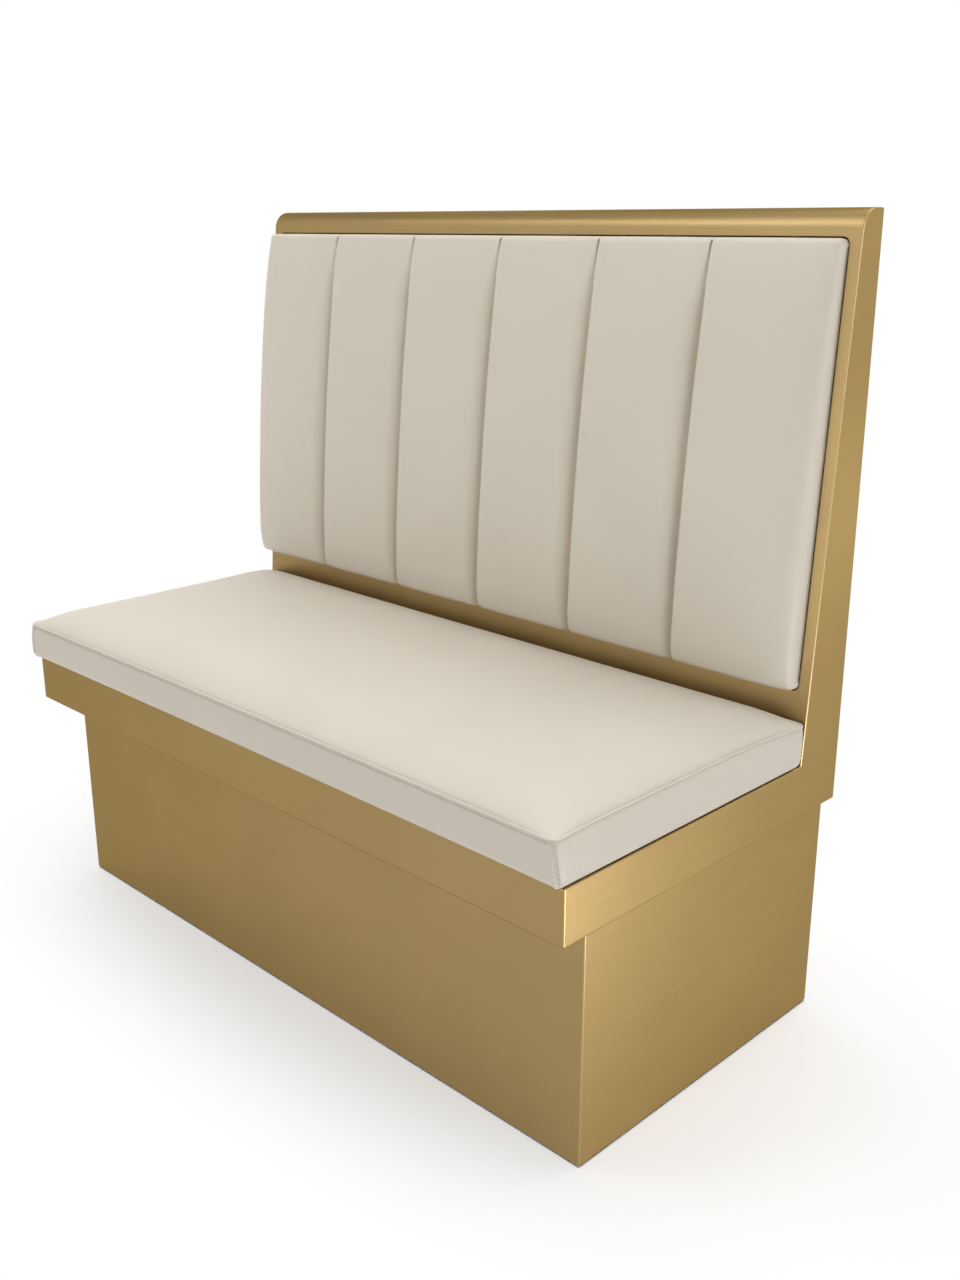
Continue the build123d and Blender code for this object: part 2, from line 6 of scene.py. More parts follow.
import bpy
import numpy as np
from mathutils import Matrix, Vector

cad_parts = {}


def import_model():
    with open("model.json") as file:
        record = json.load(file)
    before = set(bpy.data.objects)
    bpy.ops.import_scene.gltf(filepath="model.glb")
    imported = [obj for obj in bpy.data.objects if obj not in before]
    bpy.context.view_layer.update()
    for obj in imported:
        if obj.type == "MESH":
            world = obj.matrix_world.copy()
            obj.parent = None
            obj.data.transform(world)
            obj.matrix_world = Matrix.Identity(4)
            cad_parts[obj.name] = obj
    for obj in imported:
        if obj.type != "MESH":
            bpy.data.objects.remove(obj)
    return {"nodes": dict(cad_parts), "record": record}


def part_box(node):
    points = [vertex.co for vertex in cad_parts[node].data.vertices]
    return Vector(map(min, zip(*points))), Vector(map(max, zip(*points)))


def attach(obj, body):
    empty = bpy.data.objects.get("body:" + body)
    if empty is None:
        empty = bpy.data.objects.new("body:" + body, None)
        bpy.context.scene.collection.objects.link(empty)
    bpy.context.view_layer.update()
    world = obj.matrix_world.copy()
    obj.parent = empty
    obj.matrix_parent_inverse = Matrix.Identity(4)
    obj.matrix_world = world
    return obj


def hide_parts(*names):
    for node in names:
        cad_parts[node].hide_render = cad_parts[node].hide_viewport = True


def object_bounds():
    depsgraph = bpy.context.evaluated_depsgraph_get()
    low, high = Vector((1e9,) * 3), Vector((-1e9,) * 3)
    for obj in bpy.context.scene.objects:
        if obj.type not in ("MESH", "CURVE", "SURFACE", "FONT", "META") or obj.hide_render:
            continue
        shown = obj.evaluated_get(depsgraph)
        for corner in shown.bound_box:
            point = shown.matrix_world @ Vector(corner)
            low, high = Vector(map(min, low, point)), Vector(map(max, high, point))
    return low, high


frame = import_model()
cad_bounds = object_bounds()

MM = 0.001

# Camera that matches the photograph's view, with its angles in degrees and its lens in millimetres
CAMERA_PLACE = (1.35787, -1.20589, 1.04745)
CAMERA_AZIMUTH = 44.65
CAMERA_ELEVATION = 17.46
CAMERA_LENS = 37.14
SENSOR = 36.0

# The leaning face of the back: where it starts above the seat frame, and its rake
RAKE = math.radians(4)
FACE_FOOT_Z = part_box("apron_front_sheet")[1].z
FACE_FOOT_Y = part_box("back_face_sheet")[0].y
FACE_UP = np.array((0, math.sin(RAKE), math.cos(RAKE)))
FACE_OUT = np.array((0, -math.cos(RAKE), math.sin(RAKE)))
FACE_FOOT = np.array((0, FACE_FOOT_Y, FACE_FOOT_Z))

# Back pad, between the bottom rail and the top band, with its heights measured up the leaning face
CHANNELS = 6
BOTTOM_RAIL = 96 * MM
TOP_BAND = 33 * MM
PAD_GAP = 1.5 * MM
PAD_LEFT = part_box("back_pad_cover")[0].x
PAD_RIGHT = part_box("back_pad_cover")[1].x
PAD_BOTTOM = BOTTOM_RAIL / math.cos(RAKE) + PAD_GAP
PAD_TOP = (cad_bounds[1][2] - TOP_BAND - FACE_FOOT_Z) / math.cos(RAKE) - PAD_GAP
PAD_HEIGHT = PAD_TOP - PAD_BOTTOM
PAD_WIDTH = PAD_RIGHT - PAD_LEFT
PAD_MIDDLE = (PAD_LEFT + PAD_RIGHT) / 2
CHANNEL_WIDTH = PAD_WIDTH / CHANNELS
PAD_LAP = -PAD_RIGHT - PAD_LEFT
PAD_BACK = 19.5 * MM
PAD_CLEAR = 0.3 * MM
PAD_CORNER = 8 * MM
PAD_EDGE_ROUND = 8 * MM

# How far the middle of a channel stands out, from the pad's bottom to its top
PAD_CROWN = 36 * MM
CROWN_HEIGHT_SHARES = (0, 0.012, 0.035, 0.09, 0.24, 0.42, 0.6, 0.79, 0.91, 0.968, 1)
CROWN_RISE_SHARES = (0.55, 0.68, 0.8, 0.93, 1, 0.99, 0.92, 0.76, 0.56, 0.42, 0.3)

# The round of a channel across its width, and how suddenly it turns down to its seam
CHANNEL_VALLEY = 3 * MM
OUTER_VALLEY = 5 * MM
LEAST_VALLEY_SHARE = 0.35
CHANNEL_SHARPNESS = 3.0

# The last channel falls away towards the pad's right edge
RIGHT_FALL = 19 * MM
RIGHT_FALL_REACH = 45 * MM
RIGHT_FALL_START = 12 * MM
RIGHT_FALL_SHARPNESS = 2.2

# The flanks down to a seam between two channels, which are smaller near the pad's top and foot
STEEP_FLANK = 5 * MM
LONG_FLANK = 23 * MM
FLANK_ONSET_DEPTH = 12 * MM
FLANK_DEPTH = 22 * MM
FLANK_HOLLOW = 2.6
FLANK_SOFTNESS_SHARE = 0.12
FLANK_TOP_SHARE = 0.12
FLANK_TOP_GROWTH = 110 * MM
FLANK_FOOT_SHARE = 0.7
FLANK_FOOT_GROWTH = 60 * MM

# The slit at the seam itself, and the dark tube in it that paints the shade deep in the seam
SLIT_HALF_WIDTH = 2.2 * MM
SLIT_DEPTH = 4 * MM
SLIT_FULL_FLANK_SHARE = 0.5
SEAM_SHADE_RADIUS = 1.0 * MM
SEAM_SHADE_END = 4 * MM
SEAM_SHADE_POINTS = 60
SEAM_SHADE_RISE_SHARE = 0.5

# Seat cushion
CUSHION_LOW, CUSHION_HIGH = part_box("seat_cushion_cover")
CUSHION_BAND = 56 * MM
CUSHION_OVERHANG = 8 * MM
CUSHION_LEFT_GAP = 5 * MM
CUSHION_FRONT_CORNER = 10 * MM
CUSHION_REAR_CORNER = 14 * MM
CUSHION_BOTTOM_ROUND = 12 * MM
SEAM_PINCH = 2 * MM
SEAM_PINCH_REACH = 5 * MM
BAND_BULGE = 1.2 * MM
TURN_UNDER = 45 * MM
CLOTH_RECESS = 1.5 * MM
CUSHION_FRONT = CUSHION_LOW.y - CUSHION_OVERHANG
CUSHION_LEFT = CUSHION_LOW.x + CUSHION_LEFT_GAP
CUSHION_BOTTOM = CUSHION_LOW.z
HALF_X = (CUSHION_HIGH.x - CUSHION_LEFT) / 2 - SEAM_PINCH
MIDDLE_X = (CUSHION_HIGH.x + CUSHION_LEFT) / 2
HALF_Y = (CUSHION_HIGH.y - CUSHION_FRONT) / 2 - SEAM_PINCH
MIDDLE_Y = (CUSHION_HIGH.y + CUSHION_FRONT) / 2
SEAM_Z = CUSHION_BOTTOM + CUSHION_BAND

# The crown of the cushion's top, and how full and how soft it is beside the seam
CUSHION_CROWN = CUSHION_HIGH.z - SEAM_Z
CUSHION_REACH = 100 * MM
CROWN_FULLNESS = 3.4
CROWN_SOFTNESS = 0.7

# How far the seam is drawn in along the front and the two ends, and how fast that fades
FRONT_DRAW_IN = 2.5 * MM
SIDE_DRAW_IN = 12 * MM
FRONT_END_DRAW_IN = 8 * MM
SIDE_DRAW_POWER = 4
INWARD_FADE_POWER = 3

# Levels of the points down the cushion's band, closer together under its seam, and round its bottom edge
BAND_STEP_SHARES = (0.02, 0.05, 0.09, 0.15, 0.27, 0.4, 0.55, 0.7, 0.85, 1)
BOTTOM_ROUND_STEPS = 6

# The raised seam and the stitches beside it
TUBE_SIDES = 10
WELT_RADIUS = 1.7 * MM
WELT_REACH = 1.4 * MM
WELT_STEP = 4 * MM
CORNER_SINK = 0.9 * MM
STITCH_PITCH = 5.0 * MM
STITCH_LENGTH = 3.4 * MM
STITCH_RADIUS = 0.45 * MM
STITCH_PROUD = 0.3 * STITCH_RADIUS
STITCH_DROP = 4.2 * MM
STITCH_SIDES = 6
STITCH_RINGS = (0.0, 0.18, 0.5, 0.82, 1.0)
STITCH_BLUNTNESS = 4
STITCH_END_SHARE = 0.15
LEVELS_WITHOUT_STITCHES = 3

# Squares over each half of a channel or a sheet, and how strongly they crowd together at its edges
CHANNEL_GRID = {"count": 20, "power": 1.9}
PAD_ROW_GRID = {"count": 44, "power": 1.8}
CUSHION_COLUMN_GRID = {"count": 62, "power": 2.0}
CUSHION_ROW_GRID = {"count": 40, "power": 1.9}

# How many radii from a sheet's rounded corner its grid still bends
CORNER_FADE_RADII = 3

# Cloth simulation, on a coarse copy of each padded sheet
CLOTH_FRAMES = 16
CLOTH_MOVE_LIMIT = 2 * MM
PAD_PRESSURE = 1.0
CUSHION_PRESSURE = 0.2
COARSE_CHANNEL_SQUARES = 20
COARSE_PAD = (CHANNELS * COARSE_CHANNEL_SQUARES + 1, 61)
COARSE_CUSHION = (141, 59)
CLOTH_SETTINGS = {
    "quality": 6,
    "mass": 0.4,
    "tension_stiffness": 30,
    "compression_stiffness": 30,
    "shear_stiffness": 20,
    "bending_stiffness": 4,
    "tension_damping": 15,
    "air_damping": 4,
    "vertex_group_mass": "pinned",
    "use_pressure": True,
}

# Keeps a place on the last line of a grid inside its last square, and a length that divides above zero
GRID_MARGIN = 1e-6
LEAST_LENGTH = 1e-9


# Shapes

def graded(length, count, power):
    """Distances from zero to a length, close together at zero."""
    return length * (np.arange(count + 1) / count) ** power


def both_ways(length, count, power):
    """Distances over a length, close together at both ends."""
    half = graded(length / 2, count, power)
    return np.concatenate((half, (length - half[:-1])[::-1]))


def smooth_table(places, values, at):
    """A smooth curve through a table that never overshoots it."""
    places = np.array(places, float)
    values = np.array(values, float)
    steps = np.diff(places)
    slopes = np.diff(values) / steps
    tangents = np.concatenate((slopes[:1], np.zeros(len(values) - 2), slopes[-1:]))
    for i in range(1, len(values) - 1):
        before, after = slopes[i - 1], slopes[i]
        if before * after > 0:
            tangents[i] = 2 * before * after / (before + after)
    i = np.clip(np.searchsorted(places, at) - 1, 0, len(steps) - 1)
    t = (at - places[i]) / steps[i]
    return (
        (2 * t**3 - 3 * t**2 + 1) * values[i]
        + (t**3 - 2 * t**2 + t) * steps[i] * tangents[i]
        + (3 * t**2 - 2 * t**3) * values[i + 1]
        + (t**3 - t**2) * steps[i] * tangents[i + 1]
    )


def quarter_drop(distance, radius):
    """The share of its radius that a rounded edge has fallen, at a distance in from the edge."""
    t = np.clip(1 - distance / radius, 0, 1)
    return 1 - np.sqrt(1 - t**2)


def eased(distance, reach):
    """Zero up to one over a reach, level at both ends."""
    t = np.clip(distance / reach, 0, 1)
    return t**2 * (3 - 2 * t)


def corner_shift(s, t, radius):
    """How far a grid point moves in from its two nominal sides, so that the sheet's corner is round."""
    def on_side(t):
        angle = math.pi / 4 * np.clip(1 - t / radius, 0, 1)
        return radius - radius * np.cos(angle), np.where(t < radius, radius - radius * np.sin(angle) - t, 0)

    def fade(distance):
        return np.clip(1 - distance / (CORNER_FADE_RADII * radius), 0, 1) ** 2

    side_s, side_t = on_side(t)
    top_t, top_s = on_side(s)
    corner = radius * (1 - math.sqrt(1 / 2))
    fade_s, fade_t = fade(s), fade(t)
    shift_s = fade_s * side_s + fade_t * top_s - fade_s * fade_t * corner
    shift_t = fade_s * side_t + fade_t * top_t - fade_s * fade_t * corner
    return shift_s, shift_t


def new_mesh(name, vertices, faces, smooth=True):
    mesh = bpy.data.meshes.new(name)
    mesh.from_pydata([tuple(v) for v in vertices], [], faces)
    mesh.validate()
    mesh.polygons.foreach_set("use_smooth", [smooth] * len(mesh.polygons))
    piece = bpy.data.objects.new(name, mesh)
    bpy.context.scene.collection.objects.link(piece)
    return piece


def grid_points(columns_at, rows_at):
    """The places of a grid's points across and along it, listed row by row."""
    across, along = np.meshgrid(columns_at, rows_at)
    return across.ravel(), along.ravel()


def grid_faces(columns, rows):
    """Quads of a grid whose points are listed row by row."""
    return [
        (r * columns + c, r * columns + c + 1, (r + 1) * columns + c + 1, (r + 1) * columns + c)
        for r in range(rows - 1)
        for c in range(columns - 1)
    ]


def grid_rim(columns, rows):
    """The grid's outer points in order round it, the same way round as its faces."""
    bottom = list(range(columns))
    right = [r * columns + columns - 1 for r in range(1, rows)]
    top = [(rows - 1) * columns + c for c in range(columns - 2, -1, -1)]
    left = [r * columns for r in range(rows - 2, 0, -1)]
    return bottom + right + top + left


def ring_faces(outer, inner):
    """Quads between two rings of as many points."""
    count = len(outer)
    return [(outer[i], inner[i], inner[(i + 1) % count], outer[(i + 1) % count]) for i in range(count)]


def circle(centre, side, up, radius, sides):
    """Points round a centre, in the plane of two directions."""
    angles = [2 * math.pi * k / sides for k in range(sides)]
    return [centre + (side * math.cos(angle) + up * math.sin(angle)) * radius for angle in angles]


def end_caps(first, last, sides):
    """Faces that close a bar whose first and last circles start at these points."""
    return [tuple(first + k for k in reversed(range(sides))), tuple(last + k for k in range(sides))]


def simulated_move(start, pinned, columns, rows, pressure):
    """Puffs a coarse sheet out from its pinned points and gives how far each of its points moved."""
    sheet = new_mesh("cloth_sheet", start, grid_faces(columns, rows))
    group = sheet.vertex_groups.new(name="pinned")
    group.add([int(i) for i in pinned], 1.0, "REPLACE")
    cloth = sheet.modifiers.new("Cloth", "CLOTH")
    for setting, value in CLOTH_SETTINGS.items():
        setattr(cloth.settings, setting, value)
    cloth.settings.uniform_pressure_force = pressure
    cloth.settings.effector_weights.gravity = 0
    cloth.point_cache.frame_start = 1
    cloth.point_cache.frame_end = CLOTH_FRAMES
    scene = bpy.context.scene
    for number in range(1, CLOTH_FRAMES + 1):
        scene.frame_set(number)
    evaluated = sheet.evaluated_get(bpy.context.evaluated_depsgraph_get())
    moved = np.array([v.co for v in evaluated.data.vertices]) - start
    scene.frame_set(1)
    bpy.data.objects.remove(sheet)
    length = np.linalg.norm(moved, axis=1, keepdims=True)
    return moved * np.minimum(1, CLOTH_MOVE_LIMIT / np.maximum(length, LEAST_LENGTH))


def spread(moved, columns, rows, across, along):
    """Reads a coarse sheet's movement at shares across and along it, between its points."""
    table = moved.reshape(rows, columns, 3)
    c = np.clip(across * (columns - 1), 0, columns - 1 - GRID_MARGIN)
    r = np.clip(along * (rows - 1), 0, rows - 1 - GRID_MARGIN)
    c0, r0 = c.astype(int), r.astype(int)
    fc, fr = (c - c0)[:, None], (r - r0)[:, None]
    low = table[r0, c0] * (1 - fc) + table[r0, c0 + 1] * fc
    high = table[r0 + 1, c0] * (1 - fc) + table[r0 + 1, c0 + 1] * fc
    return low * (1 - fr) + high * fr


def tube(name, runs, radius):
    """Round tubes, one for each run: its path, a direction square to it, and whether it is closed."""
    vertices, faces = [], []
    for path, upward, closed in runs:
        first, count = len(vertices), len(path)
        for i, point in enumerate(path):
            after = path[(i + 1) % count] if closed else path[min(i + 1, count - 1)]
            before = path[i - 1] if closed else path[max(i - 1, 0)]
            along = (after - before).normalized()
            side = along.cross(upward).normalized()
            vertices += circle(point, side, side.cross(along), radius, TUBE_SIDES)
        for i in range(count if closed else count - 1):
            here, there = first + i * TUBE_SIDES, first + (i + 1) % count * TUBE_SIDES
            for k in range(TUBE_SIDES):
                turned = (k + 1) % TUBE_SIDES
                faces.append((here + k, here + turned, there + turned, there + k))
        if not closed:
            faces += end_caps(first, first + (count - 1) * TUBE_SIDES, TUBE_SIDES)
    return new_mesh(name, vertices, faces)


def evenly(path, pitch, closed=True):
    """Points at a steady pitch along a path, each with its direction."""
    points = list(path) + ([path[0]] if closed else [])
    lengths = [0.0]
    for a, b in zip(points, points[1:]):
        lengths.append(lengths[-1] + (b - a).length)
    count = max(1, round(lengths[-1] / pitch))
    found = []
    j = 0
    for k in range(count):
        at = lengths[-1] * (k + 0.5) / count
        while lengths[j + 1] < at:
            j += 1
        a, b = points[j], points[j + 1]
        share = (at - lengths[j]) / max(lengths[j + 1] - lengths[j], LEAST_LENGTH)
        found.append((a.lerp(b, share), (b - a).normalized()))
    return found


def stitches(name, places):
    """Short raised stitches, each a rounded bar along its direction."""
    vertices, faces = [], []
    for centre, along, outward in places:
        side = along.cross(outward).normalized()
        first = len(vertices)
        for share in STITCH_RINGS:
            fullness = math.sqrt(max(0.0, 1 - (2 * share - 1) ** STITCH_BLUNTNESS))
            swell = STITCH_END_SHARE + (1 - STITCH_END_SHARE) * fullness
            middle = centre + along * (share - 0.5) * STITCH_LENGTH
            vertices += circle(middle, side, outward, STITCH_RADIUS * swell, STITCH_SIDES)
        last = first + (len(STITCH_RINGS) - 1) * STITCH_SIDES
        for ring in range(first, last, STITCH_SIDES):
            for k in range(STITCH_SIDES):
                a, b = ring + k, ring + (k + 1) % STITCH_SIDES
                faces.append((a, b, b + STITCH_SIDES, a + STITCH_SIDES))
        faces += end_caps(first, last, STITCH_SIDES)
    return new_mesh(name, vertices, faces)


# Back pad

def seam_distances(x):
    """How far a place lies from its nearest seam, whether that seam joins two channels, and how wide the
    channel's flank is there: steep at its left edge and longer at its right."""
    in_channel = np.mod(x - PAD_LEFT, CHANNEL_WIDTH)
    distance = np.minimum(in_channel, CHANNEL_WIDTH - in_channel)
    is_inner = np.abs(x - PAD_MIDDLE) < PAD_WIDTH / 2 - CHANNEL_WIDTH / 2
    flank_width = np.where(in_channel < CHANNEL_WIDTH / 2, STEEP_FLANK, LONG_FLANK)
    return distance, is_inner, flank_width


def pad_rise(up):
    """How far the middle of a channel stands out of the face at a height."""
    return PAD_CROWN * smooth_table(CROWN_HEIGHT_SHARES, CROWN_RISE_SHARES, (up - PAD_BOTTOM) / PAD_HEIGHT)


def pad_surface(x, up):
    """How far the pad's cover stands out of the face, before its seams are pulled in and its rim turned."""
    rise = pad_rise(up)
    distance, is_inner, _ = seam_distances(x)
    valley = np.where(is_inner, CHANNEL_VALLEY, OUTER_VALLEY)
    valley = valley * (LEAST_VALLEY_SHARE + (1 - LEAST_VALLEY_SHARE) * rise / PAD_CROWN)
    from_right = np.clip(1 - (PAD_RIGHT - x) / RIGHT_FALL_REACH, 0, 1)
    room = np.clip((rise - RIGHT_FALL_START) / (PAD_CROWN - RIGHT_FALL_START), 0, 1)
    right_fall = RIGHT_FALL * room * from_right**RIGHT_FALL_SHARPNESS
    return rise - right_fall - valley * (1 - 2 * distance / CHANNEL_WIDTH) ** CHANNEL_SHARPNESS


def seam_tuck(x, up):
    """How far the cover dips where two channels are sewn together: sloping flanks down to a narrow slit."""
    distance, is_inner, flank_width = seam_distances(x)
    size = FLANK_TOP_SHARE + (1 - FLANK_TOP_SHARE) * eased(PAD_TOP - up, FLANK_TOP_GROWTH)
    size = size * (FLANK_FOOT_SHARE + (1 - FLANK_FOOT_SHARE) * eased(up - PAD_BOTTOM, FLANK_FOOT_GROWTH))
    way_down = 1 - distance / (flank_width * size)
    eased_down = (way_down + np.sqrt(way_down**2 + FLANK_SOFTNESS_SHARE**2)) / 2
    depth = size * pad_rise(up) / PAD_CROWN
    flank = depth * (FLANK_ONSET_DEPTH * eased_down + FLANK_DEPTH * eased_down**FLANK_HOLLOW)
    slit_share = np.minimum(size / SLIT_FULL_FLANK_SHARE, 1)
    slit = SLIT_DEPTH * slit_share * np.clip(1 - distance / SLIT_HALF_WIDTH, 0, 1)
    return np.where(is_inner, flank + slit, 0)


def pad_points(x, up, out):
    """Points of the pad from nominal places, with its plan corners rounded."""
    s = np.minimum(x - PAD_LEFT, PAD_RIGHT - x)
    t = np.minimum(up - PAD_BOTTOM, PAD_TOP - up)
    shift_s, shift_t = corner_shift(s, t, PAD_CORNER)
    x = x - np.sign(x - PAD_MIDDLE) * shift_s
    up = up + np.where(up < (PAD_BOTTOM + PAD_TOP) / 2, shift_t, -shift_t)
    return FACE_FOOT + np.outer(x, (1, 0, 0)) + np.outer(up, FACE_UP) + np.outer(out, FACE_OUT)


def pad_puff(x, up):
    """How far the cloth simulation moves the cover at each place. Its seams and its two ends stay."""
    columns, rows = COARSE_PAD
    coarse_x, coarse_up = grid_points(np.linspace(PAD_LEFT, PAD_RIGHT, columns),
                                      np.linspace(PAD_BOTTOM, PAD_TOP, rows))
    start = pad_points(coarse_x, coarse_up, pad_surface(coarse_x, coarse_up))
    index = np.arange(columns * rows)
    column, row = index % columns, index // columns
    pinned = index[(column % COARSE_CHANNEL_SQUARES == 0) | (row == 0) | (row == rows - 1)]
    moved = simulated_move(start, pinned, columns, rows, PAD_PRESSURE)
    return spread(moved, columns, rows, (x - PAD_LEFT) / PAD_WIDTH, (up - PAD_BOTTOM) / PAD_HEIGHT)


def back_pad(leather):
    per_channel = both_ways(CHANNEL_WIDTH, **CHANNEL_GRID)[:-1]
    columns_at = np.concatenate([per_channel + CHANNEL_WIDTH * i for i in range(CHANNELS)] + [[PAD_WIDTH]])
    rows_at = both_ways(PAD_HEIGHT, **PAD_ROW_GRID)
    columns, rows = len(columns_at), len(rows_at)
    x, up = grid_points(columns_at + PAD_LEFT, rows_at + PAD_BOTTOM)

    out = pad_surface(x, up) - seam_tuck(x, up)
    from_side = PAD_WIDTH / 2 - np.abs(x - PAD_MIDDLE)
    from_rim = np.minimum(from_side, np.minimum(up - PAD_BOTTOM, PAD_TOP - up))
    out -= PAD_EDGE_ROUND * quarter_drop(from_rim, PAD_EDGE_ROUND)
    vertices = pad_points(x, up, out)
    vertices = vertices + pad_puff(x, up)

    # Rings behind the rim: down to the face, along it where the pad laps over the left stile, and back into
    # the opening
    faces = grid_faces(columns, rows)
    rim = grid_rim(columns, rows)
    vertices = list(vertices)
    for out_at, drawn_in in ((PAD_CLEAR, 0), (PAD_CLEAR, PAD_LAP), (-PAD_BACK, 0)):
        ring = []
        for i in rim:
            point = vertices[i]
            depth = float((point - FACE_FOOT) @ FACE_OUT)
            point = point + FACE_OUT * min(0, out_at - depth)
            point[0] += drawn_in * (PAD_RIGHT - point[0]) / PAD_WIDTH
            vertices.append(point)
            ring.append(len(vertices) - 1)
        faces += ring_faces(rim, ring)
        rim = ring
    faces.append(tuple(reversed(rim)))
    piece = new_mesh("channelled_back_pad", vertices, faces)
    piece.data.materials.append(leather)
    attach(piece, "frame")
    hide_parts("back_pad_cover", "back_pad_foam")


def pad_seam_shade(thread_and_shade):
    """A dark tube down the seam between each two channels, painted shade where the seam's deep shadow falls.
    """
    up = np.linspace(PAD_BOTTOM + SEAM_SHADE_END, PAD_TOP - SEAM_SHADE_END, SEAM_SHADE_POINTS)
    runs = []
    for i in range(1, CHANNELS):
        x = np.full(SEAM_SHADE_POINTS, PAD_LEFT + CHANNEL_WIDTH * i)
        out = pad_surface(x, up) - seam_tuck(x, up) + SLIT_DEPTH * SEAM_SHADE_RISE_SHARE
        runs.append(([Vector(point) for point in pad_points(x, up, out)], Vector(FACE_OUT), False))
    piece = tube("pad_painted_seam_shade", runs, SEAM_SHADE_RADIUS)
    piece.data.materials.append(thread_and_shade)
    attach(piece, "frame")


# Seat cushion

def crown_lift(distance):
    """The share of the crown reached at a distance in from the seam."""
    t = np.clip(distance / CUSHION_REACH, 0, 1)
    return (1 - (1 - t) ** CROWN_FULLNESS) ** CROWN_SOFTNESS


def side_draw(y):
    """How far the seam is drawn in along the cushion's two ends, from the middle to the corners."""
    corner_draw = np.where(y < 0, FRONT_END_DRAW_IN, 0)
    return SIDE_DRAW_IN + (corner_draw - SIDE_DRAW_IN) * (y / HALF_Y) ** SIDE_DRAW_POWER


def cushion_plan(x, y):
    """Plan places from nominal ones: round corners, and sides drawn in between them."""
    s, t = HALF_X - np.abs(x), HALF_Y - np.abs(y)
    shift_s, shift_t = corner_shift(s, t, np.where(y < 0, CUSHION_FRONT_CORNER, CUSHION_REAR_CORNER))
    draw_x = side_draw(y) * (np.abs(x) / HALF_X) ** INWARD_FADE_POWER
    front = (y < 0) * (np.abs(y) / HALF_Y) ** INWARD_FADE_POWER
    draw_y = FRONT_DRAW_IN * (1 - (x / HALF_X) ** 2) * front
    return x - np.sign(x) * (shift_s + draw_x) + MIDDLE_X, y - np.sign(y) * (shift_t + draw_y) + MIDDLE_Y


def cushion_top(x, y):
    """Points of the cushion's crowned top, from places measured from its middle."""
    plan_x, plan_y = cushion_plan(x, y)
    lift = crown_lift(HALF_X - np.abs(x)) * crown_lift(HALF_Y - np.abs(y))
    return np.stack((plan_x, plan_y, SEAM_Z + CUSHION_CROWN * lift), axis=1)


def cushion_puff(x, y):
    """How far the cloth simulation moves the top at each place. The seam round it stays."""
    columns, rows = COARSE_CUSHION
    coarse_x, coarse_y = grid_points(np.linspace(-HALF_X, HALF_X, columns),
                                     np.linspace(-HALF_Y, HALF_Y, rows))
    index = np.arange(columns * rows)
    column, row = index % columns, index // columns
    pinned = index[(column == 0) | (column == columns - 1) | (row == 0) | (row == rows - 1)]
    moved = simulated_move(cushion_top(coarse_x, coarse_y), pinned, columns, rows, CUSHION_PRESSURE)
    return spread(moved, columns, rows, (x + HALF_X) / (2 * HALF_X), (y + HALF_Y) / (2 * HALF_Y))


def band_reach(down):
    """How far the band stands out from the seam at a depth below it."""
    pinch = SEAM_PINCH * (1 - quarter_drop(down, SEAM_PINCH_REACH))
    share = min(1, down / (CUSHION_BAND - CUSHION_BOTTOM_ROUND))
    return pinch + BAND_BULGE * math.sin(math.pi * share)


def outward_of(seam, i):
    """The level direction out of the cushion at a point of its seam."""
    along = (seam[(i + 1) % len(seam)] - seam[i - 1]).normalized()
    return Vector((along.y, -along.x, 0))


def band_levels():
    """How far each level of the band and of its rounded bottom is drawn in, and how far below the seam."""
    band_height = CUSHION_BAND - CUSHION_BOTTOM_ROUND
    levels = [(0, band_height * share) for share in BAND_STEP_SHARES]
    for k in range(1, BOTTOM_ROUND_STEPS + 1):
        angle = math.pi / 2 * k / BOTTOM_ROUND_STEPS
        inset = CUSHION_BOTTOM_ROUND * (1 - math.cos(angle))
        levels.append((inset, CUSHION_BAND - CUSHION_BOTTOM_ROUND * (1 - math.sin(angle))))
    return levels


def band_ring(seam, inset, down):
    """Points round the band at one level, where the ends lose the draw of the seam on the way down."""
    share = min(1, down / (CUSHION_BAND - CUSHION_BOTTOM_ROUND))
    ring = []
    for i, corner in enumerate(seam):
        point = corner + outward_of(seam, i) * (band_reach(down) - inset)
        point.x += float(side_draw(corner.y - MIDDLE_Y)) * share * (corner.x - MIDDLE_X) / HALF_X
        point.z = SEAM_Z - down
        ring.append(point)
    return ring


def under_ring(seam, z):
    """Points round the cushion's underside, where the cover is turned under."""
    scale_x = (HALF_X - TURN_UNDER) / HALF_X
    scale_y = (HALF_Y - TURN_UNDER) / HALF_Y
    ring = []
    for corner in seam:
        across, along = corner.x - MIDDLE_X, corner.y - MIDDLE_Y
        ring.append(Vector((MIDDLE_X + across * scale_x, MIDDLE_Y + along * scale_y, z)))
    return ring


def seat_cushion(leather):
    """The boxed cushion. Gives its seam and, from each point of the seam, the points down its band."""
    columns_at = both_ways(2 * HALF_X, **CUSHION_COLUMN_GRID) - HALF_X
    rows_at = both_ways(2 * HALF_Y, **CUSHION_ROW_GRID) - HALF_Y
    columns, rows = len(columns_at), len(rows_at)
    x, y = grid_points(columns_at, rows_at)
    vertices = cushion_top(x, y)
    vertices = vertices + cushion_puff(x, y)

    faces = grid_faces(columns, rows)
    rim = grid_rim(columns, rows)
    seam = [Vector(vertices[i]) for i in rim]
    vertices = list(vertices)
    band = [band_ring(seam, inset, down) for inset, down in band_levels()]
    underside = [under_ring(seam, z) for z in (CUSHION_BOTTOM, CUSHION_BOTTOM + CLOTH_RECESS)]
    for points in band + underside:
        ring = list(range(len(vertices), len(vertices) + len(points)))
        vertices += points
        faces += ring_faces(rim, ring)
        rim = ring
    faces.append(tuple(reversed(rim)))
    piece = new_mesh("boxed_seat_cushion", vertices, faces)
    piece.data.materials.append(leather)
    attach(piece, "seat_cushion")
    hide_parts("seat_cushion_cover", "seat_cushion_foam")
    return seam, [list(column) for column in zip(seam, *band)]


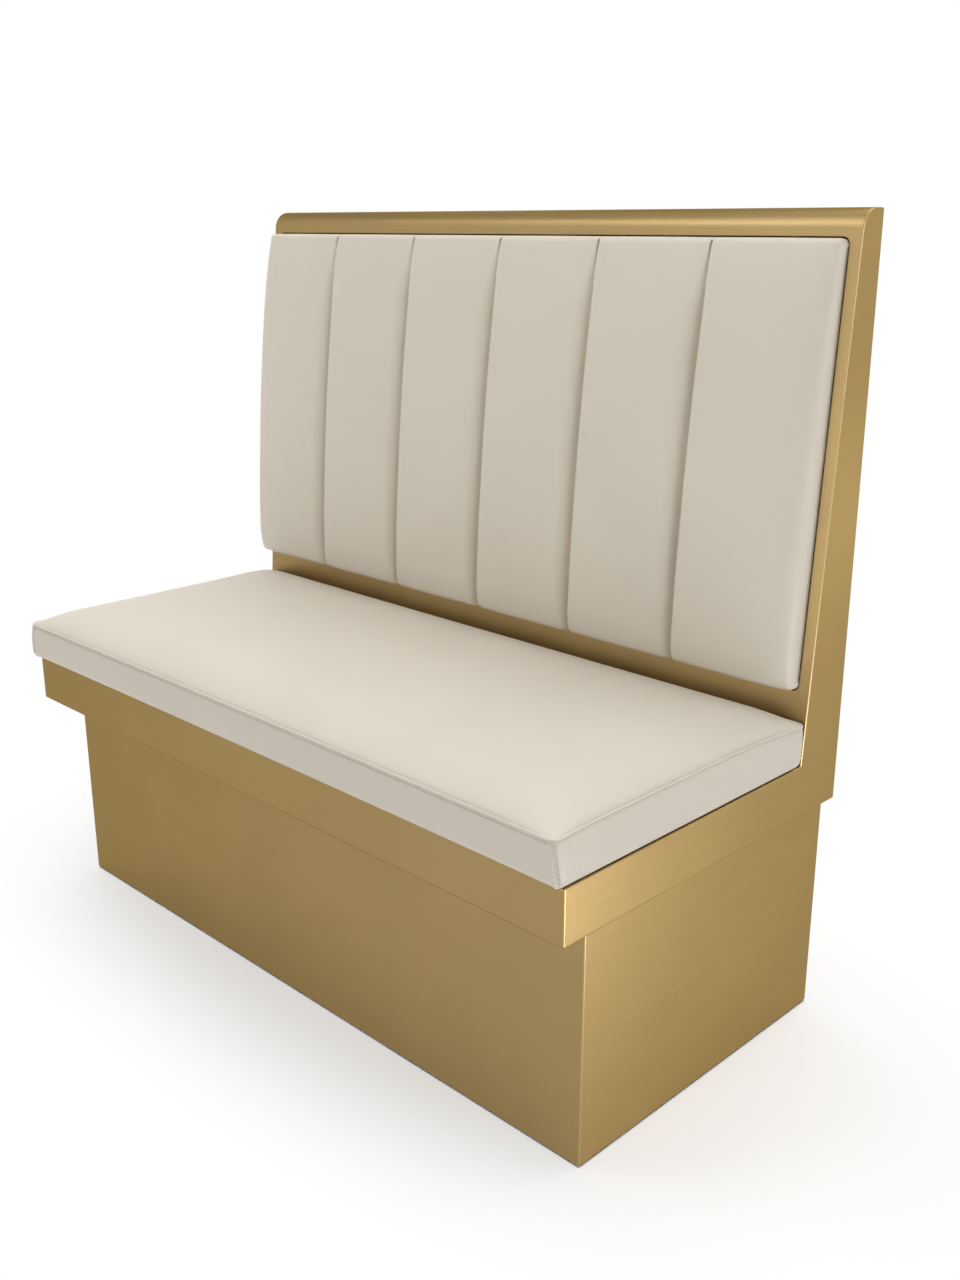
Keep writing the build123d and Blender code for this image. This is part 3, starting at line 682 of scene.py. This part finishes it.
def corner_places(seam):
    """Where along the seam its four corners are."""
    found = []
    for side_x in (-1, 1):
        for side_y in (-1, 1):
            reach = [side_x * (point.x - MIDDLE_X) / HALF_X + side_y * (point.y - MIDDLE_Y) / HALF_Y
                     for point in seam]
            found.append(reach.index(max(reach)))
    return found


def cushion_trim(seam, columns_down, leather, thread_and_shade):
    """The raised seam round the cushion's top and down its corners, with stitches beside it."""
    level = [point + Vector((along.y, -along.x, 0)) * WELT_REACH
             for point, along in evenly(seam, WELT_STEP)]
    runs = [(level, Vector((0, 0, 1)), True)]
    places = []
    for point, along in evenly(seam, STITCH_PITCH):
        outward = Vector((along.y, -along.x, 0)).normalized()
        at = point + outward * (band_reach(STITCH_DROP) + STITCH_PROUD)
        at.z = SEAM_Z - STITCH_DROP
        places.append((at, along, outward))
    for corner in corner_places(seam):
        outward = outward_of(seam, corner)
        runs.append(([point - outward * CORNER_SINK for point in columns_down[corner][1:]], outward, False))
        beside = corner
        while (seam[beside] - seam[corner]).length < STITCH_DROP:
            beside = (beside + 1) % len(seam)
        stitched = columns_down[beside][LEVELS_WITHOUT_STITCHES:-LEVELS_WITHOUT_STITCHES]
        outward = outward_of(seam, beside)
        for point, along in evenly(stitched, STITCH_PITCH, closed=False):
            places.append((point + outward * STITCH_PROUD, along, outward))
    welt = tube("cushion_seam_ridge", runs, WELT_RADIUS)
    welt.data.materials.append(leather)
    sewn = stitches("cushion_stitches", places)
    sewn.data.materials.append(thread_and_shade)
    for piece in (welt, sewn):
        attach(piece, "seat_cushion")


# Materials, with linear colours, noise scales per metre and bump distances in metres

WHITE = (1, 1, 1, 1)
BRASS = (0.349, 0.245, 0.106)
BRASS_EDGE = (0.42, 0.32, 0.16)
BRASS_TINTS = (0.94, 1.06)
BRASS_ROUGHNESS = (0.36, 0.48)
BRASS_STREAKS = {"scale": 900, "detail": 4.0, "roughness": 0.6}
BRASS_BUMP = {"strength": 0.10, "distance": 0.0002}
BRASS_SURFACE = {"Metallic": 1.0, "Anisotropic": 0.25, "Specular Tint": (*BRASS_EDGE, 1)}
LACQUER = {"Coat Weight": 0.15, "Coat Roughness": 0.32}
GRAIN_STRETCH = 0.012
CLOUDS = {"scale": 5, "detail": 4.0}

SEAT_LEATHER = (0.697, 0.642, 0.552)
# The pad's leather is the seat's cream leather painted lighter, standing in for more light on the back pad
PAD_LEATHER_PAINTED_LIGHTER = (0.805, 0.740, 0.631)
LEATHER_TINTS = (0.975, 1.02)
LEATHER_ROUGHNESS = (0.46, 0.56)
LEATHER_SPECULAR = 0.4
PEBBLE_SCALE = 850
PEBBLE_BUMP = {"strength": 0.18, "distance": 0.0003}
PORES = {"scale": 2200, "detail": 2.0}
PORE_BUMP = {"strength": 0.10, "distance": 0.0002}
CREASES = {"scale": 30, "detail": 2.0}
CREASE_BUMP = {"strength": 0.06, "distance": 0.002}

GRAIN_DETAIL = 5.0
GRAIN_ROUGHNESS = 0.06
GRAIN_BUMP = {"strength": 0.15, "distance": 0.0004}
# Colour of the dark tube in the pad's seams: painted shade standing in for the shadow deep in each seam
PAINTED_SEAM_SHADE = {"colour": (0.30, 0.25, 0.19), "roughness": 0.8, "scale": 1500}
# Stitch thread: its own cream colour darkened to paint the shade round each stitch as well
STITCH_THREAD_AND_SHADE = {"colour": (0.46, 0.41, 0.34), "roughness": 0.6, "scale": 1500}
PLYWOOD = {"colour": (0.52, 0.36, 0.20), "roughness": 0.6, "scale": 70, "contrast": 0.16,
           "stretch": (0.08, 1, 1)}
PINE = {"colour": (0.60, 0.41, 0.22), "roughness": 0.6, "scale": 60, "contrast": 0.18,
        "stretch": (1, 1, 0.1)}
FOAM = {"colour": (0.74, 0.66, 0.42), "roughness": 0.9, "scale": 700}
DUST_CLOTH = {"colour": (0.025, 0.025, 0.027), "roughness": 0.9, "scale": 1200, "contrast": 0.3}
RUBBER = {"colour": (0.03, 0.03, 0.03), "roughness": 0.7, "scale": 400, "contrast": 0.2}
STEEL = {"colour": (0.62, 0.63, 0.65), "roughness": 0.35, "scale": 300, "metallic": 1.0}

# Where a mottled colour is darkest and lightest, over the range of its noise
DARKEST_AT = 0.3
LIGHTEST_AT = 0.7


def material(name):
    found = bpy.data.materials.new(name)
    found.use_nodes = True
    nodes, links = found.node_tree.nodes, found.node_tree.links
    return found, nodes, links, nodes["Principled BSDF"]


def set_inputs(node, values):
    for name, value in values.items():
        node.inputs[name].default_value = value


def noise(nodes, links, scale, detail, stretch=(1, 1, 1), roughness=0.5):
    """A noise in the part's own coordinates, stretched along an axis where that axis has a small factor."""
    place = nodes.new("ShaderNodeTexCoord")
    mapping = nodes.new("ShaderNodeMapping")
    set_inputs(mapping, {"Scale": stretch})
    texture = nodes.new("ShaderNodeTexNoise")
    set_inputs(texture, {"Scale": scale, "Detail": detail, "Roughness": roughness})
    links.new(place.outputs["Object"], mapping.inputs["Vector"])
    links.new(mapping.outputs["Vector"], texture.inputs["Vector"])
    return texture.outputs["Fac"]


def mottled(nodes, links, factor, colour, darkest, lightest):
    """A colour that a noise darkens and lightens, each by a factor."""
    found = nodes.new("ShaderNodeValToRGB")
    stops = ((DARKEST_AT, darkest), (LIGHTEST_AT, lightest))
    for element, (position, share) in zip(found.color_ramp.elements, stops):
        element.position = position
        element.color = (*[min(1.0, c * share) for c in colour], 1)
    links.new(factor, found.inputs["Fac"])
    return found.outputs["Color"]


def span(nodes, links, factor, low, high):
    """Maps a factor from 0..1 to low..high."""
    found = nodes.new("ShaderNodeMapRange")
    set_inputs(found, {"To Min": low, "To Max": high})
    links.new(factor, found.inputs["Value"])
    return found.outputs["Result"]


def bump(nodes, links, height, strength, distance, after=None):
    """A bump from a height, on top of an earlier bump where one is given."""
    found = nodes.new("ShaderNodeBump")
    set_inputs(found, {"Strength": strength, "Distance": distance})
    links.new(height, found.inputs["Height"])
    if after is not None:
        links.new(after, found.inputs["Normal"])
    return found.outputs["Normal"]


def brass(name, grain_axis):
    """Satin brass sheet: a fine brushed grain along one axis, faint clouding and varied gloss."""
    found, nodes, links, shader = material(name)
    set_inputs(shader, {**BRASS_SURFACE, **LACQUER})
    stretch = tuple(GRAIN_STRETCH if axis == grain_axis else 1.0 for axis in "xyz")
    streaks = noise(nodes, links, stretch=stretch, **BRASS_STREAKS)
    clouds = noise(nodes, links, **CLOUDS)
    mix = nodes.new("ShaderNodeMix")
    mix.data_type = "RGBA"
    set_inputs(mix, {"Factor": 0.5})
    links.new(mottled(nodes, links, streaks, BRASS, *BRASS_TINTS), mix.inputs["A"])
    links.new(mottled(nodes, links, clouds, BRASS, *BRASS_TINTS), mix.inputs["B"])
    links.new(mix.outputs["Result"], shader.inputs["Base Color"])
    links.new(span(nodes, links, streaks, *BRASS_ROUGHNESS), shader.inputs["Roughness"])
    links.new(bump(nodes, links, streaks, **BRASS_BUMP), shader.inputs["Normal"])
    return found


def leather(name, colour):
    """Leather with a fine pebbled grain, faint clouding and a soft satin gloss."""
    found, nodes, links, shader = material(name)
    set_inputs(shader, {"Specular IOR Level": LEATHER_SPECULAR})
    clouds = noise(nodes, links, **CLOUDS)
    links.new(mottled(nodes, links, clouds, colour, *LEATHER_TINTS), shader.inputs["Base Color"])
    links.new(span(nodes, links, clouds, *LEATHER_ROUGHNESS), shader.inputs["Roughness"])
    place = nodes.new("ShaderNodeTexCoord")
    cells = nodes.new("ShaderNodeTexVoronoi")
    cells.feature = "SMOOTH_F1"
    set_inputs(cells, {"Scale": PEBBLE_SCALE})
    links.new(place.outputs["Object"], cells.inputs["Vector"])
    pebbles = bump(nodes, links, cells.outputs["Distance"], **PEBBLE_BUMP)
    pores = bump(nodes, links, noise(nodes, links, **PORES), after=pebbles, **PORE_BUMP)
    creases = bump(nodes, links, noise(nodes, links, **CREASES), after=pores, **CREASE_BUMP)
    links.new(creases, shader.inputs["Normal"])
    return found


def plain(name, colour, roughness, scale, metallic=0.0, stretch=(1, 1, 1), contrast=0.08):
    """A material with a mottled or grained colour and a matching bump."""
    found, nodes, links, shader = material(name)
    set_inputs(shader, {"Metallic": metallic})
    grain = noise(nodes, links, scale, GRAIN_DETAIL, stretch)
    links.new(mottled(nodes, links, grain, colour, 1 - contrast, 1 + contrast), shader.inputs["Base Color"])
    varied = span(nodes, links, grain, roughness - GRAIN_ROUGHNESS, roughness + GRAIN_ROUGHNESS)
    links.new(varied, shader.inputs["Roughness"])
    links.new(bump(nodes, links, grain, **GRAIN_BUMP), shader.inputs["Normal"])
    return found


cream = leather("cream_leather", SEAT_LEATHER)
# The back pad gets a lighter painted copy of the seat's leather, in place of more light on it
pad_cream_painted_lighter = leather("pad_leather_painted_lighter", PAD_LEATHER_PAINTED_LIGHTER)
painted_seam_shade = plain("painted_seam_shade", **PAINTED_SEAM_SHADE)
stitch_thread_and_shade = plain("stitch_thread_and_shade", **STITCH_THREAD_AND_SHADE)
brass_along = brass("brass_grain_along", "x")
brass_deep = brass("brass_grain_deep", "y")

BY_SLOT = {
    "plywood": plain("plywood", **PLYWOOD),
    "pine": plain("pine", **PINE),
    "foam": plain("foam", **FOAM),
    "dust_cloth": plain("dust_cloth", **DUST_CLOTH),
    "black_rubber": plain("rubber", **RUBBER),
    "zinc_steel": plain("zinc_steel", **STEEL),
    "cream_leather": cream,
    "brass_cladding": brass_along,
}
GRAIN_DEEP = ("plinth_left_sheet", "plinth_right_sheet", "left_side_panel", "right_side_panel")


def dress_nodes():
    """Gives each CAD node its slot's material. The brass of the end sheets has its grain front to back."""
    slots = {part["node"]: part["material_slot"] for part in frame["record"]["subparts"]}
    for name, node in frame["nodes"].items():
        chosen = brass_deep if name in GRAIN_DEEP else BY_SLOT[slots[name]]
        for place in node.material_slots:
            place.material = chosen


# Studio

# Brightness of the world, as light on matt surfaces and where its ceiling is seen. The ceiling begins and is
# full at these upward parts of a ray's direction
AMBIENT = 0.0
CEILING = 0.44
CEILING_START = 0.35
CEILING_FULL = 0.75

FLOOR_SIZE = 40
FLOOR_COLOUR = 0.93
FLOOR_ROUGHNESS = 0.9
FLOOR_LIFT = 0.5
PLINTH_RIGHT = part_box("plinth_right_sheet")[1].x
PLINTH_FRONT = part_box("plinth_front_sheet")[0].y
PLINTH_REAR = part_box("plinth_rear_sheet")[1].y
PLINTH_HALF_DEPTH = (PLINTH_REAR - PLINTH_FRONT) / 2
PLINTH_MIDDLE = (PLINTH_REAR + PLINTH_FRONT) / 2
# The fade's start and end, in half lengths and half depths of the plinth from its middle
FADE_START = 1.1
FADE_END = 2.2

# Broad far lamps: the direction that each comes from, its width in degrees and its strength
SUNS = {
    "top_light": {"place": (0.1, 0.25, 1.0), "angle": 70, "power": 1.64},
    "top_rear_light": {"place": (0.1, 0.7, 1.0), "angle": 50, "power": 0.85},
    "top_left_light": {"place": (-0.6, 0.0, 1.0), "angle": 50, "power": 0.8, "gloss": False},
    "left_front_light": {"place": (-1.0, -0.8, 0.6), "angle": 40, "power": 0.85, "gloss": False},
    "right_light": {"place": (1.0, -0.25, 0.15), "angle": 40, "power": 0.88},
    "right_gloss": {"place": (1.0, -0.25, 0.15), "angle": 40, "power": 0.85, "diffuse": False},
}

# Lamps that show in the gloss alone: place, aim, width, height and power in watts
SOFTBOXES = {
    "front_box": ((-0.2, -0.9, 2.3), (0.0, 0.17, 0.8), 1.2, 1.2, 8.4),
    "right_rear_low_box": ((1.6, 2.0, 0.3), (0.556, 0.2, 0.5), 0.9, 0.5, 1.35),
    "right_rear_high_box": ((1.6, 2.0, 1.0), (0.556, 0.2, 0.7), 0.9, 0.5, 0.6),
    "right_low_box": ((1.3, -0.15, 0.12), (0.556, -0.2, 0.3), 0.4, 0.2, 7.6),
    "nose_box": ((-1.2, -1.6, 2.75), (0.3, 0.2, 1.05), 1.6, 0.2, 7.5),
    "stile_low_box": ((-0.3, -2.7, 0.45), (0.55, 0.2, 0.5), 0.3, 0.7, 8.1),
    "stile_high_box": ((-0.3, -2.7, 1.2), (0.55, 0.2, 0.9), 0.3, 0.6, 3.8),
}


def camera():
    data = bpy.data.cameras.new("camera")
    data.sensor_width = SENSOR
    data.lens = CAMERA_LENS
    found = bpy.data.objects.new("camera", data)
    found.location = CAMERA_PLACE
    found.rotation_euler = (math.radians(90 - CAMERA_ELEVATION), 0, math.radians(CAMERA_AZIMUTH))
    bpy.context.scene.collection.objects.link(found)
    bpy.context.scene.camera = found


def computed(nodes, links, operation, first, second):
    """The result of a Math node. Its second value is a number or another node's output."""
    found = nodes.new("ShaderNodeMath")
    found.operation = operation
    links.new(first, found.inputs[0])
    if isinstance(second, bpy.types.NodeSocket):
        links.new(second, found.inputs[1])
    else:
        found.inputs[1].default_value = second
    return found.outputs[0]


def seen_rays(nodes, links):
    """1 for rays from the camera, from gloss and through glass, and 0 for the rest."""
    path = nodes.new("ShaderNodeLightPath")
    first = computed(nodes, links, "MAXIMUM", path.outputs["Is Camera Ray"], path.outputs["Is Glossy Ray"])
    return computed(nodes, links, "MAXIMUM", first, path.outputs["Is Transmission Ray"])


def world():
    """A white backdrop up to the horizon and above it, under a grey ceiling."""
    found = bpy.data.worlds.new("studio")
    bpy.context.scene.world = found
    found.use_nodes = True
    nodes, links = found.node_tree.nodes, found.node_tree.links
    background = nodes["Background"]
    place = nodes.new("ShaderNodeTexCoord")
    height = nodes.new("ShaderNodeSeparateXYZ")
    links.new(place.outputs["Generated"], height.inputs["Vector"])
    ceiling = nodes.new("ShaderNodeMapRange")
    ceiling.interpolation_type = "SMOOTHSTEP"
    set_inputs(ceiling, {"From Min": CEILING_START, "From Max": CEILING_FULL,
                         "To Min": 1.0, "To Max": CEILING})
    links.new(height.outputs["Z"], ceiling.inputs["Value"])
    strength = nodes.new("ShaderNodeMix")
    strength.data_type = "FLOAT"
    set_inputs(strength, {"A": AMBIENT})
    links.new(seen_rays(nodes, links), strength.inputs["Factor"])
    links.new(ceiling.outputs["Result"], strength.inputs["B"])
    links.new(strength.outputs["Result"], background.inputs["Strength"])
    set_inputs(background, {"Color": WHITE})


def floor_lift(nodes, links):
    """How white the floor is of itself: not under the plinth, partly beside it, fully at the fade's end."""
    place = nodes.new("ShaderNodeTexCoord")
    around = nodes.new("ShaderNodeMapping")
    set_inputs(around, {"Scale": (1 / PLINTH_RIGHT, 1 / PLINTH_HALF_DEPTH, 1),
                        "Location": (0, -PLINTH_MIDDLE / PLINTH_HALF_DEPTH, 0)})
    links.new(place.outputs["Object"], around.inputs["Vector"])
    distance = nodes.new("ShaderNodeVectorMath")
    distance.operation = "LENGTH"
    links.new(around.outputs["Vector"], distance.inputs[0])
    fade = nodes.new("ShaderNodeMapRange")
    fade.interpolation_type = "SMOOTHSTEP"
    set_inputs(fade, {"From Min": FADE_START, "From Max": FADE_END, "To Min": FLOOR_LIFT})
    links.new(distance.outputs["Value"], fade.inputs["Value"])
    size = nodes.new("ShaderNodeVectorMath")
    size.operation = "ABSOLUTE"
    links.new(around.outputs["Vector"], size.inputs[0])
    sides = nodes.new("ShaderNodeSeparateXYZ")
    links.new(size.outputs["Vector"], sides.inputs[0])
    farther = computed(nodes, links, "MAXIMUM", sides.outputs["X"], sides.outputs["Y"])
    outside = computed(nodes, links, "GREATER_THAN", farther, 1)
    return computed(nodes, links, "MULTIPLY", fade.outputs["Result"], outside)


def floor():
    """A pale floor that keeps the booth's shadow and fades to the white of the backdrop."""
    found, nodes, links, shader = material("studio_floor")
    set_inputs(shader, {"Base Color": (FLOOR_COLOUR, FLOOR_COLOUR, FLOOR_COLOUR, 1),
                        "Roughness": FLOOR_ROUGHNESS, "Specular IOR Level": 0.0})
    white = nodes.new("ShaderNodeEmission")
    mix = nodes.new("ShaderNodeMixShader")
    seen = computed(nodes, links, "MULTIPLY", floor_lift(nodes, links), seen_rays(nodes, links))
    links.new(seen, mix.inputs["Fac"])
    links.new(shader.outputs[0], mix.inputs[1])
    links.new(white.outputs[0], mix.inputs[2])
    links.new(mix.outputs[0], nodes["Material Output"].inputs["Surface"])
    half = FLOOR_SIZE / 2
    corners = [(-half, -half, 0), (half, -half, 0), (half, half, 0), (-half, half, 0)]
    piece = new_mesh("studio_floor", corners, [(0, 1, 2, 3)], smooth=False)
    piece.data.materials.append(found)


def sun(name, place, angle, power, diffuse=True, gloss=True):
    """A broad far lamp, which may be left out of the matt light or out of the gloss."""
    data = bpy.data.lights.new(name, "SUN")
    data.angle = math.radians(angle)
    data.energy = power
    found = bpy.data.objects.new(name, data)
    found.rotation_euler = Vector(place).to_track_quat("Z", "Y").to_euler()
    found.visible_diffuse = diffuse
    found.visible_glossy = gloss
    bpy.context.scene.collection.objects.link(found)


def softbox(name, place, aim, wide, tall, power):
    """A rectangular lamp that shows in the gloss and adds no matt light."""
    data = bpy.data.lights.new(name, "AREA")
    data.shape = "RECTANGLE"
    data.size = wide
    data.size_y = tall
    data.energy = power
    found = bpy.data.objects.new(name, data)
    found.location = place
    found.rotation_euler = (Vector(place) - Vector(aim)).to_track_quat("Z", "Y").to_euler()
    found.visible_diffuse = False
    bpy.context.scene.collection.objects.link(found)


def lights():
    for name, lamp in SUNS.items():
        sun(name, **lamp)
    for name, lamp in SOFTBOXES.items():
        softbox(name, *lamp)


dress_nodes()
back_pad(pad_cream_painted_lighter)
pad_seam_shade(painted_seam_shade)
seam, columns_down = seat_cushion(cream)
cushion_trim(seam, columns_down, cream, stitch_thread_and_shade)
camera()
world()
floor()
lights()
bpy.context.scene.view_settings.view_transform = "Standard"
